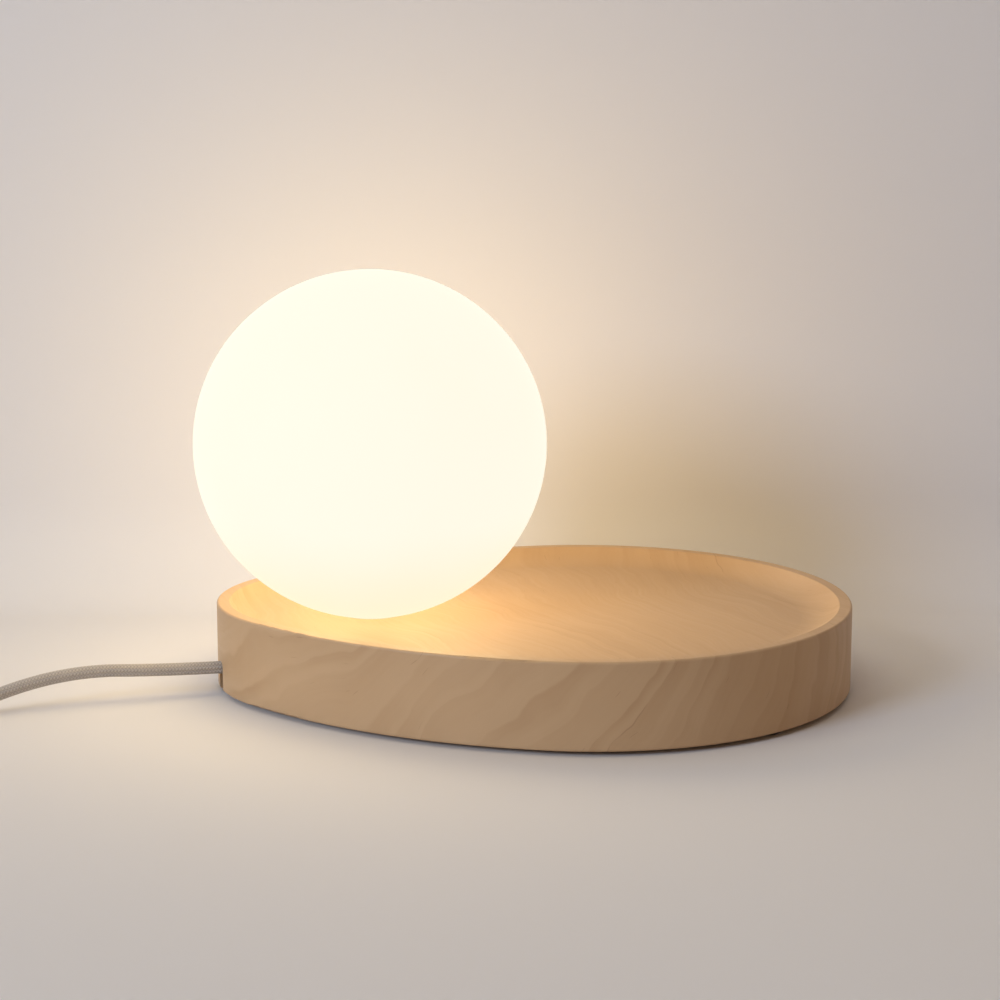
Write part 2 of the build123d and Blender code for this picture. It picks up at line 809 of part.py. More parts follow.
coil_wire = coil_path.wire()
coil_count = 900
coil_points = [coil_wire.position_at(k / coil_count) for k in range(coil_count + 1)]
skip = int(coil_count * 4 * cord_diameter / coil_wire.length)
least = min(
    (coil_points[i] - coil_points[j]).length
    for i in range(coil_count + 1)
    for j in range(i + skip, coil_count + 1)
)
print("coil length", round(coil_wire.length, 1), "least gap", round(least - cord_diameter, 3))
print("coil volume share", round(cord_coil.part.volume / (pi * cord_r**2 * coil_wire.length), 4))

# Tie round the coil's turns, on the side away from its ends
turns_near = coil_outer_r - (coil_half_turns_in // 2) * coil_step - cord_r - tie_inner_gap
turns_far = coil_outer_r + cord_r + tie_gap
tie_low = coil_low_z - cord_r - tie_gap
tie_high = coil_high_z + cord_r + tie_gap
tie_across = turns_far - turns_near
tie_up = tie_high - tie_low
tie_side = Plane(origin=(coil_x, coil_y + tie_width / 2, 0), x_dir=(1, 0, 0), z_dir=(0, -1, 0))
with BuildPart() as coil_tie:
    with BuildSketch(tie_side):
        with Locations(((turns_near + turns_far) / 2, (tie_low + tie_high) / 2)):
            RectangleRounded(tie_across + 2 * tie_thickness, tie_up + 2 * tie_thickness, tie_corner_r)
            RectangleRounded(tie_across, tie_up, tie_corner_r - tie_thickness, mode=Mode.SUBTRACT)
    extrude(amount=tie_width)

# Cord from the switch to the coil, and from the coil to the plug
link_points = [
    switch_plane.from_local_coords((switch_near, 0, switch_cord_height)),
    switch_plane.from_local_coords((switch_far, 0, switch_cord_height)),
    (-388.5, -94.5, 3.4),
    (-406.9, -73.4, cord_floor),
    (-413.4, -46.0, cord_floor),
    (coil_start_x, -15.0, coil_low_z),
    (coil_start_x, coil_y - cord_diameter, coil_low_z),
]
cord_link = tube(link_points, cord_r, "cord link")
tail_points = [
    (coil_stop_x, coil_y + cord_diameter, coil_high_z),
    (coil_stop_x, 40.0, coil_high_z),
    (-397.0, 68.0, 8.2),
    (-374.0, plug_y, plug_height),
    (plug_x, plug_y, plug_height),
]
cord_tail = tube(tail_points, cord_r, "cord tail")

# Plug: tapered sleeve, flat body, two round pins
plug_plane = Plane(origin=(plug_x, plug_y, plug_height), x_dir=(0, 1, 0), z_dir=(1, 0, 0))
with BuildPart() as plug_sleeve:
    with BuildSketch(plug_plane):
        Circle(sleeve_start_r)
    with BuildSketch(plug_plane.offset(sleeve_length)):
        Circle(sleeve_end_r)
    loft()

with BuildPart() as plug_body:
    with BuildSketch(plug_plane.offset(sleeve_length)):
        RectangleRounded(plug_width, plug_thickness, plug_corner_r)
    extrude(amount=plug_length)
    fillet(plug_body.faces().sort_by(Axis.X)[0].edges(), plug_front_ease)
    fillet(plug_body.faces().sort_by(Axis.X)[-1].edges(), plug_front_ease)

with BuildPart() as plug_pins:
    with BuildSketch(plug_plane.offset(sleeve_length + plug_length)):
        with Locations((plug_pin_spacing / 2, 0), (-plug_pin_spacing / 2, 0)):
            Circle(plug_pin_r)
    extrude(amount=plug_pin_length)
    fillet(plug_pins.edges().group_by(Axis.X)[-1], plug_pin_tip_ease)

pieces = {
    "base_tray": base_tray.part,
    "foot_pads": foot_pads.part,
    "bottom_cover": bottom_cover.part,
    "cover_screws": cover_screws,
    "globe_collar": globe_collar.part,
    "collar_screws": collar_screws,
    "neck_seal": neck_seal.part,
    "globe": globe.part,
    "lampholder": lampholder.part,
    "holder_contacts": holder_contacts.part,
    "holder_screws": holder_screws,
    "holder_leads": holder_leads,
    "bulb_base": bulb_base.part,
    "bulb_pins": bulb_pins.part,
    "bulb_board": bulb_board.part,
    "bulb_envelope": bulb_envelope.part,
    "terminal_block": terminal_block.part,
    "terminal_sleeves": terminal_sleeves.part,
    "terminal_screws": terminal_screws.part,
    "block_screw": block_screw,
    "cord_cores": cord_cores,
    "cord_clamp": cord_clamp.part,
    "clamp_screws": clamp_screws,
    "cord_lead": cord_lead,
    "switch_lower_shell": switch_lower_shell.part,
    "switch_upper_shell": switch_upper_shell.part,
    "switch_rocker": switch_rocker.part,
    "switch_pin": switch_pin.part,
    "switch_contacts": switch_contacts.part,
    "switch_screws": switch_screws,
    "cord_link": cord_link,
    "cord_coil": cord_coil.part,
    "coil_tie": coil_tie.part,
    "cord_tail": cord_tail,
    "plug_sleeve": plug_sleeve.part,
    "plug_body": plug_body.part,
    "plug_pins": plug_pins.part,
}
for name, piece in pieces.items():
    piece.label = name
    export_step(piece, f"parts/{name}.step")
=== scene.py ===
from math import cos, pi, radians, sin

import bpy
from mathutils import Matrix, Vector


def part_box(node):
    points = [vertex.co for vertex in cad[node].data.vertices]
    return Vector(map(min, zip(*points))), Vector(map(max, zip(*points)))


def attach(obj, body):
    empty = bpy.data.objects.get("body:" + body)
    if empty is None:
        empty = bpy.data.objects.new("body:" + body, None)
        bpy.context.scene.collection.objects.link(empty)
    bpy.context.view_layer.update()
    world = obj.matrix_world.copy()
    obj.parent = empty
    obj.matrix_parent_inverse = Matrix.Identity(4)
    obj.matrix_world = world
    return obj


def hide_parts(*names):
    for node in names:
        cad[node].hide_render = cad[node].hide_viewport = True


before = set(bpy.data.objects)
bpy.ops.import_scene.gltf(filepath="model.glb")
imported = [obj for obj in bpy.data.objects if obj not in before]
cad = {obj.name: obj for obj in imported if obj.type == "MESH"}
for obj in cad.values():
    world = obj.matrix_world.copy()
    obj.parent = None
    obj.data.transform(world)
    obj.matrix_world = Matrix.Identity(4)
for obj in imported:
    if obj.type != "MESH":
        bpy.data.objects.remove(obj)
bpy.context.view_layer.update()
scene = bpy.context.scene
tiny = 0.0001  # metres; nearer than this counts as the same place
print("frame loaded:", len(cad), "nodes")


# shaping tools
def deselectAll():
    if bpy.context.object and bpy.context.object.mode != "OBJECT":
        bpy.ops.object.mode_set(mode="OBJECT")
    bpy.ops.object.select_all(action="DESELECT")


def selectOnly(piece):
    deselectAll()
    piece.select_set(True)
    bpy.context.view_layer.objects.active = piece


def addShape(adder, name, middle, size):
    deselectAll()
    adder(size=1, location=middle)
    piece = bpy.context.object
    piece.name = name
    piece.scale = size
    bpy.ops.object.transform_apply(location=True, rotation=True, scale=True)
    return piece


# opens a mesh for editing, with only what passes the test picked
def pick(piece, vertices=None, edges=None, faces=None):
    mesh = piece.data
    tests = (vertices, edges, faces)
    for items, test in zip((mesh.vertices, mesh.edges, mesh.polygons), tests):
        for item in items:
            item.select = bool(test and test(item))
    bpy.context.view_layer.objects.active = piece
    bpy.context.tool_settings.mesh_select_mode = tuple(test is not None for test in tests)
    bpy.ops.object.mode_set(mode="EDIT")


def setBack():
    bpy.ops.object.mode_set(mode="OBJECT")


def endsOf(piece, edge):
    return [piece.data.vertices[index].co for index in edge.vertices]


def cutAcross(piece, start, length, shares):
    for share in shares:
        pick(piece, faces=lambda face: True)
        bpy.ops.mesh.bisect(plane_co=(start + share * length, 0, 0), plane_no=(1, 0, 0))
        setBack()


# a row of grooves along x; what lies in a groove is drawn in towards the middle
def cutGrooves(piece, low, middle, settings, drawIn, outside=lambda vertex: True):
    width = settings["width"]
    margin = 0.1 * width
    for groove in range(settings["grooves"]):
        start = low.x + settings["first"] + groove * settings["pitch"]
        cutAcross(piece, start, width, settings["cuts"])

        def inGroove(vertex):
            return start + margin < vertex.co.x < start + width - margin and outside(vertex)

        pick(piece, vertices=inGroove)
        bpy.ops.transform.resize(value=drawIn, center_override=middle)
        setBack()


def finishWith(piece, kind, **settings):
    bpy.context.view_layer.objects.active = piece
    modifier = piece.modifiers.new(kind.lower(), kind)
    for key, value in settings.items():
        setattr(modifier, key, value)
    bpy.ops.object.modifier_apply(modifier=modifier.name)


def bevelSharp(piece, width, angle):
    finishWith(piece, "BEVEL", width=width, segments=2, limit_method="ANGLE", angle_limit=radians(angle))


def smoothBy(piece, angle):
    selectOnly(piece)
    bpy.ops.object.shade_smooth_by_angle(angle=radians(angle))


# camera at the photograph's view
cameraSettings = {"place": (-0.0102, -0.992, 0.2628), "pitchDown": 10.43, "lens": 85.0, "sensor": 36.0}
deselectAll()
bpy.ops.object.camera_add(
    location=cameraSettings["place"], rotation=(radians(90 - cameraSettings["pitchDown"]), 0, 0)
)
camera = bpy.context.object
camera.data.lens = cameraSettings["lens"]
camera.data.sensor_width = cameraSettings["sensor"]
scene.camera = camera
print("camera placed")


# cords: the routes of the solids, point by point
cordSettings = {
    "diameter": 0.0053,
    "sides": 20,
    "smoothness": 10,
    "smoothAngle": 50,
    "leadLength": 0.2155,
    "flexLength": 1.66,
    "leadRoute": [
        (-0.10144, -0.011743, 0.0114),
        (-0.145569, -0.026081, 0.0120),
        (-0.192, -0.0391, 0.0153),
        (-0.236, -0.0607, 0.00275),
        (-0.26, -0.0725, 0.00275),
        (-0.281748, -0.080439, 0.0056),
        (-0.302124, -0.08552, 0.0056),
    ],
    "linkRoute": [
        (-0.342876, -0.09568, 0.0056),
        (-0.363252, -0.100761, 0.0056),
        (-0.3885, -0.0945, 0.0034),
        (-0.4069, -0.0734, 0.00275),
        (-0.4134, -0.046, 0.00275),
        (-0.4125, -0.015, 0.00375),
    ],
    "tailRoute": [
        (-0.4066, 0.04, 0.00965),
        (-0.397, 0.068, 0.0082),
        (-0.374, 0.0865, 0.00685),
        (-0.351, 0.0865, 0.00685),
    ],
}
# the coil winds inwards on the floor, steps up once and winds out again on top
coilSettings = {
    "centre": (-0.3705, 0.012),
    "outerRadius": 0.042,
    "step": 0.0059,
    "lowLevel": 0.00375,
    "halfTurnsIn": 7,
    "halfTurnsOut": 6,
    "pointsPerHalfTurn": 8,
}


def coilRoute():
    points = []
    count = coilSettings["pointsPerHalfTurn"]
    centreX, centreY = coilSettings["centre"]
    inward, outward = coilSettings["halfTurnsIn"], coilSettings["halfTurnsOut"]
    step = coilSettings["step"]
    x = -coilSettings["outerRadius"]
    level = coilSettings["lowLevel"]
    for turn in range(inward + 1 + outward):
        radius = coilSettings["outerRadius"] - (min(turn, inward) - max(0, turn - inward)) * step / 2
        side = 1 if turn % 2 == 0 else -1
        middle = x + side * radius
        reach = radius / cos(pi / count / 2)  # the line touches the turn between its points
        for spot in range(count):
            share = (spot + 0.5) / count
            angle = pi * share
            rise = step * share if turn == inward else 0
            pointX = centreX + middle - side * reach * cos(angle)
            pointY = centreY + side * reach * sin(angle)
            points.append((pointX, pointY, level + rise))
        x += 2 * side * radius
        if turn == inward:
            level += step
    return points


def cordLine(name, points):
    curve = bpy.data.curves.new(name, "CURVE")
    curve.dimensions = "3D"
    curve.resolution_u = cordSettings["smoothness"]
    spline = curve.splines.new("NURBS")
    spline.points.add(len(points) - 1)
    for knot, point in zip(spline.points, points):
        knot.co = (*point, 1)
    spline.order_u = 3
    spline.use_endpoint_u = True
    line = bpy.data.objects.new(name, curve)
    scene.collection.objects.link(line)
    bpy.context.view_layer.update()
    thin = bpy.data.meshes.new_from_object(line)
    path = [vertex.co.copy() for vertex in thin.vertices]
    bpy.data.objects.remove(line)
    bpy.data.meshes.remove(thin)
    return path


# a closed tube on the line, with the braid's map measured in turns round the cord
def braidedTube(name, path):
    sides = cordSettings["sides"]
    radius = cordSettings["diameter"] / 2
    girth = pi * cordSettings["diameter"]
    verts, faces, coords, lengths = [], [], [], [0.0]
    across = Vector((0, 0, 1))
    for index, point in enumerate(path):
        before = path[max(0, index - 1)]
        after = path[min(len(path) - 1, index + 1)]
        way = (after - before).normalized()
        across = (across - way * across.dot(way)).normalized()
        other = way.cross(across)
        if index:
            lengths.append(lengths[-1] + (point - path[index - 1]).length)
        for side in range(sides):
            angle = 2 * pi * side / sides
            verts.append(point + (across * cos(angle) + other * sin(angle)) * radius)
    for ring in range(len(path) - 1):
        here, beyond = ring * sides, (ring + 1) * sides
        low, high = lengths[ring] / girth, lengths[ring + 1] / girth
        for side in range(sides):
            nextSide = (side + 1) % sides
            faces.append((here + side, here + nextSide, beyond + nextSide, beyond + side))
            left, right = side / sides, (side + 1) / sides
            coords += [(low, left), (low, right), (high, right), (high, left)]
    last = (len(path) - 1) * sides
    faces.append(tuple(reversed(range(sides))))
    faces.append(tuple(range(last, last + sides)))
    coords += [(0, side / sides) for side in range(2 * sides)]
    mesh = bpy.data.meshes.new(name)
    mesh.from_pydata(verts, [], faces)
    layer = mesh.uv_layers.new(name="braid")
    for loop, spot in zip(layer.data, coords):
        loop.uv = spot
    tube = bpy.data.objects.new(name, mesh)
    scene.collection.objects.link(tube)
    smoothBy(tube, cordSettings["smoothAngle"])
    return tube


def flexRoute():
    centreX, centreY = coilSettings["centre"]
    low, tail = coilSettings["lowLevel"], cordSettings["tailRoute"]
    coilIn = (centreX - coilSettings["outerRadius"], centreY - diameter, low)
    coilOut = (tail[0][0], centreY + diameter, low + coilSettings["step"])
    return cordSettings["linkRoute"] + [coilIn] + coilRoute() + [coilOut] + tail


diameter = cordSettings["diameter"]
leadPath = cordLine("leadLine", cordSettings["leadRoute"])
leadCord = braidedTube("leadCord", leadPath)
flexPath = cordLine("flexLine", flexRoute())
flexCord = braidedTube("flexCord", flexPath)
print("cords laid:", len(leadPath) + len(flexPath), "rings")


# materials
def put(tree, kind, values=None, **settings):
    node = tree.nodes.new(kind)
    for key, value in settings.items():
        setattr(node, key, value)
    for key, value in (values or {}).items():
        node.inputs[key].default_value = value
    return node


def join(tree, source, target):
    tree.links.new(source, target)


def calc(tree, operation, first, second=None):
    node = put(tree, "ShaderNodeMath", operation=operation)
    for socket, value in zip(node.inputs, (first, second)):
        if value is None:
            continue
        if isinstance(value, (int, float)):
            socket.default_value = value
        else:
            join(tree, value, socket)
    return node.outputs["Value"]


def plus(tree, first, second):
    return calc(tree, "ADD", first, second)


def minus(tree, first, second):
    return calc(tree, "SUBTRACT", first, second)


def times(tree, first, second):
    return calc(tree, "MULTIPLY", first, second)


def vary(tree, base, source, swing):
    return plus(tree, base, times(tree, source, swing))


def ease(tree, value, low, high, bottom=0.0, top=1.0, kind="SMOOTHSTEP"):
    limits = {"From Min": low, "From Max": high, "To Min": bottom, "To Max": top}
    node = put(tree, "ShaderNodeMapRange", limits, interpolation_type=kind)
    join(tree, value, node.inputs["Value"])
    return node.outputs["Result"]


def axesOf(tree, vector):
    node = put(tree, "ShaderNodeSeparateXYZ")
    join(tree, vector, node.inputs["Vector"])
    return node.outputs


def noiseAt(tree, vector, values):
    node = put(tree, "ShaderNodeTexNoise", values)
    join(tree, vector, node.inputs["Vector"])
    return node


# a colour is given as three numbers or as a socket
def blendTones(tree, factor, first, second):
    node = put(tree, "ShaderNodeMix", data_type="RGBA", clamp_factor=True)
    join(tree, factor, node.inputs["Factor"])
    for label, tone in (("A", first), ("B", second)):
        if isinstance(tone, tuple):
            node.inputs[label].default_value = (*tone, 1)
        else:
            join(tree, tone, node.inputs[label])
    return node.outputs["Result"]


def bumpFrom(tree, height, shader, strength, distance):
    bump = put(tree, "ShaderNodeBump", {"Strength": strength, "Distance": distance})
    join(tree, height, bump.inputs["Height"])
    join(tree, bump.outputs["Normal"], shader.inputs["Normal"])


def startMaterial(name):
    material = bpy.data.materials.new(name)
    material.use_nodes = True
    tree = material.node_tree
    place = put(tree, "ShaderNodeTexCoord").outputs
    return material, tree, tree.nodes["Principled BSDF"], place


def startGroup(name, inputs, outputs):
    group = bpy.data.node_groups.new(name, "ShaderNodeTree")
    for way, sockets in (("INPUT", inputs), ("OUTPUT", outputs)):
        for label, kind in sockets.items():
            group.interface.new_socket(name=label, in_out=way, socket_type="NodeSocket" + kind)
    return group, put(group, "NodeGroupInput").outputs, put(group, "NodeGroupOutput").inputs


# shared by moulded pieces (pits and blotches) and by drawn or turned metal (lines along one way and stains)
mouldedSettings = {
    "marks": {"Detail": 3.0, "Roughness": 0.65},
    "stains": {"Scale": 60.0, "Detail": 4.0, "Roughness": 0.6},
    "roughBy": "stains",
    "roughSwing": 0.25,
}
drawnSettings = {
    "stretch": (0.06, 0.06, 1.0),
    "marks": {"Detail": 4.0, "Roughness": 0.7},
    "stains": {"Scale": 90.0, "Detail": 2.0},
    "roughBy": "marks",
    "roughSwing": 0.35,
}


def surfaceGroup(name, settings):
    group, given, result = startGroup(
        name,
        {"Place": "Vector", "Tone": "Color", "Shade": "Color", "Mark Scale": "Float", "Roughness": "Float"},
        {"Colour": "Color", "Rough": "Float", "Height": "Float"},
    )
    markPlace = given["Place"]
    if "stretch" in settings:
        stretch = put(group, "ShaderNodeMapping", {"Scale": settings["stretch"]})
        join(group, given["Place"], stretch.inputs["Vector"])
        markPlace = stretch.outputs["Vector"]
    marks = noiseAt(group, markPlace, settings["marks"])
    join(group, given["Mark Scale"], marks.inputs["Scale"])
    stains = noiseAt(group, given["Place"], settings["stains"])
    levels = {"marks": marks.outputs["Fac"], "stains": stains.outputs["Fac"]}
    uneven = minus(group, levels[settings["roughBy"]], 0.5)
    rough = vary(group, given["Roughness"], uneven, settings["roughSwing"])
    join(group, blendTones(group, levels["stains"], given["Tone"], given["Shade"]), result["Colour"])
    join(group, rough, result["Rough"])
    join(group, levels["marks"], result["Height"])
    return group


# crossed strands: two lays that pass over and under each other
def strandGroup():
    group, given, result = startGroup(
        "crossedStrands",
        {"Along": "Float", "Around": "Float", "Strands": "Float", "Lay": "Float"},
        {"Crown": "Float", "Over": "Float"},
    )

    def crownOf(lay):
        return calc(group, "SINE", times(group, calc(group, "FRACT", lay), pi))

    slant = times(group, given["Along"], given["Lay"])
    right = times(group, plus(group, given["Around"], slant), given["Strands"])
    left = times(group, minus(group, given["Around"], slant), given["Strands"])
    crossings = plus(group, calc(group, "FLOOR", right), calc(group, "FLOOR", left))
    over = times(group, calc(group, "FRACT", times(group, crossings, 0.5)), 2.0)  # 0 and 1 in turn
    rightPart = times(group, crownOf(right), over)
    leftPart = times(group, crownOf(left), minus(group, 1.0, over))
    join(group, plus(group, rightPart, leftPart), result["Crown"])
    join(group, over, result["Over"])
    return group


mouldedGroup = surfaceGroup("mouldedSkin", mouldedSettings)
drawnGroup = surfaceGroup("drawnLines", drawnSettings)
weaveGroup = strandGroup()
print("shared effects built")


def surfaceMaterial(name, group, settings, metallic):
    material, tree, shader, place = startMaterial(name)
    effect = put(tree, "ShaderNodeGroup", {
        "Tone": (*settings["tone"], 1),
        "Shade": (*settings["shade"], 1),
        "Mark Scale": settings["scale"],
        "Roughness": settings["roughness"],
    }, node_tree=group)
    join(tree, place["Object"], effect.inputs["Place"])
    join(tree, effect.outputs["Colour"], shader.inputs["Base Color"])
    join(tree, effect.outputs["Rough"], shader.inputs["Roughness"])
    bumpFrom(tree, effect.outputs["Height"], shader, settings["relief"], settings["depth"])
    shader.inputs["Metallic"].default_value = metallic
    shader.inputs["IOR"].default_value = 1.5
    shader.inputs["Coat Weight"].default_value = settings.get("coat", 0.0)
    return material


mouldedFinishes = {
    "coverPlastic": {"tone": (0.030, 0.026, 0.024), "shade": (0.040, 0.036, 0.033), "scale": 2600.0,
                     "roughness": 0.55, "relief": 0.35, "depth": 0.0003},
    "footRubber": {"tone": (0.020, 0.018, 0.017), "shade": (0.032, 0.029, 0.027), "scale": 1800.0,
                   "roughness": 0.80, "relief": 0.4, "depth": 0.0003},
    "sealRubber": {"tone": (0.66, 0.63, 0.58), "shade": (0.58, 0.55, 0.50), "scale": 1500.0,
                   "roughness": 0.60, "relief": 0.2, "depth": 0.0002},
    "ceramicWhite": {"tone": (0.84, 0.82, 0.77), "shade": (0.78, 0.75, 0.69), "scale": 900.0,
                     "roughness": 0.22, "relief": 0.08, "depth": 0.0002, "coat": 0.4},
    "leadSheath": {"tone": (0.70, 0.66, 0.58), "shade": (0.62, 0.58, 0.50), "scale": 2200.0,
                   "roughness": 0.50, "relief": 0.2, "depth": 0.0002},
    "bulbPlastic": {"tone": (0.87, 0.87, 0.85), "shade": (0.82, 0.82, 0.80), "scale": 2000.0,
                    "roughness": 0.35, "relief": 0.1, "depth": 0.0002},
    "boardWhite": {"tone": (0.86, 0.86, 0.80), "shade": (0.80, 0.79, 0.72), "scale": 1600.0,
                   "roughness": 0.40, "relief": 0.1, "depth": 0.0002},
    "terminalPlastic": {"tone": (0.77, 0.75, 0.70), "shade": (0.70, 0.68, 0.62), "scale": 1900.0,
                        "roughness": 0.45, "relief": 0.2, "depth": 0.0002},
    "switchPlastic": {"tone": (0.44, 0.39, 0.335), "shade": (0.40, 0.355, 0.30), "scale": 2600.0,
                      "roughness": 0.48, "relief": 0.3, "depth": 0.0003},
    "rockerPlastic": {"tone": (0.50, 0.445, 0.385), "shade": (0.46, 0.41, 0.35), "scale": 1800.0,
                      "roughness": 0.30, "relief": 0.12, "depth": 0.0002},
    "plugRubber": {"tone": (0.40, 0.355, 0.305), "shade": (0.36, 0.32, 0.27), "scale": 1700.0,
                   "roughness": 0.62, "relief": 0.3, "depth": 0.0003},
    "tieThread": {"tone": (0.150, 0.142, 0.135), "shade": (0.105, 0.100, 0.095), "scale": 3000.0,
                  "roughness": 0.75, "relief": 0.4, "depth": 0.0001},
    "plugPlastic": {"tone": (0.43, 0.38, 0.325), "shade": (0.39, 0.345, 0.29), "scale": 2500.0,
                    "roughness": 0.46, "relief": 0.3, "depth": 0.0003},
}
drawnFinishes = {
    "screwSteel": {"tone": (0.52, 0.52, 0.53), "shade": (0.40, 0.40, 0.41), "scale": 5200.0,
                   "roughness": 0.34, "relief": 0.12, "depth": 0.0001},
    "collarAluminium": {"tone": (0.72, 0.72, 0.72), "shade": (0.62, 0.62, 0.62), "scale": 4200.0,
                        "roughness": 0.38, "relief": 0.15, "depth": 0.0001},
    "contactBrass": {"tone": (0.72, 0.50, 0.18), "shade": (0.58, 0.38, 0.13), "scale": 4800.0,
                     "roughness": 0.30, "relief": 0.1, "depth": 0.0001},
    "clampSteel": {"tone": (0.50, 0.50, 0.51), "shade": (0.40, 0.40, 0.41), "scale": 3600.0,
                   "roughness": 0.40, "relief": 0.18, "depth": 0.0001},
    "plugNickel": {"tone": (0.70, 0.67, 0.62), "shade": (0.60, 0.57, 0.52), "scale": 5200.0,
                   "roughness": 0.20, "relief": 0.06, "depth": 0.0001},
}
seamSettings = {"tone": (0.07, 0.06, 0.05), "width": 0.00022}


# dark line where the switch's two shells meet
def addSeam(material, level):
    tree = material.node_tree
    base = tree.nodes["Principled BSDF"].inputs["Base Color"]
    height = axesOf(tree, put(tree, "ShaderNodeTexCoord").outputs["Object"])["Z"]
    away = calc(tree, "ABSOLUTE", minus(tree, height, level))
    near = ease(tree, away, seamSettings["width"], seamSettings["width"] / 2)
    join(tree, blendTones(tree, near, base.links[0].from_socket, seamSettings["tone"]), base)


finish = {}
for name, settings in mouldedFinishes.items():
    finish[name] = surfaceMaterial(name, mouldedGroup, settings, 0.0)
for name, settings in drawnFinishes.items():
    finish[name] = surfaceMaterial(name, drawnGroup, settings, 1.0)
addSeam(finish["switchPlastic"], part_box("switch_upper_shell")[0].z)
print("small finishes:", len(finish))


# pale beech: soft slanted growth bands, a few drawn lines, fine fibres, sparse flecks
beechSettings = {
    "pale": (0.576, 0.384, 0.219),
    "deep": (0.455, 0.277, 0.141),
    "line": (0.295, 0.160, 0.076),
    "bandNormal": (-0.742, -0.353),
    "bandLean": (0.60, 0.06),
    "leanSpan": (0.03, 0.13),
    "bandSpacing": 0.0105,
    "bandRise": (0.10, 0.86),  # shares of one band, from its start to the next one's
    "bandFall": (0.88, 1.0),
    "bandTone": (0.2, 0.6),  # least and swing, from band to band
    "wander": {9.0: 0.042, 48.0: 0.0075},  # noise scales and how far each moves the bands
    "uneven": (0.6, 2.2),
    "patches": {"scale": 16.0, "span": (-0.16, 0.14), "least": 0.3, "swing": 0.7},
    "flat": {"span": (0.45, 0.95), "loss": 0.6},
    "lineRise": (0.90, 0.935),
    "lineFall": (0.95, 0.985),
    "lineShare": 0.74,
    "lineBreaks": {"scale": 45.0, "span": (0.0, 0.12), "top": 0.36},
    "fibres": (640.0, 24.0),  # scale across the bands and along them
    "flecks": (1500.0, 130.0),
    "fleckSpan": (0.25, 0.30),
    "fleckTop": 0.34,
    "clouds": 14.0,
    "weights": {"bands": 0.88, "fibres": 0.22, "clouds": 0.55, "plain": 0.12},
    "roughness": (0.50, 0.25),
    "markDepth": 0.8,
    "relief": (0.10, 0.0004),
    "ior": 1.45,
}


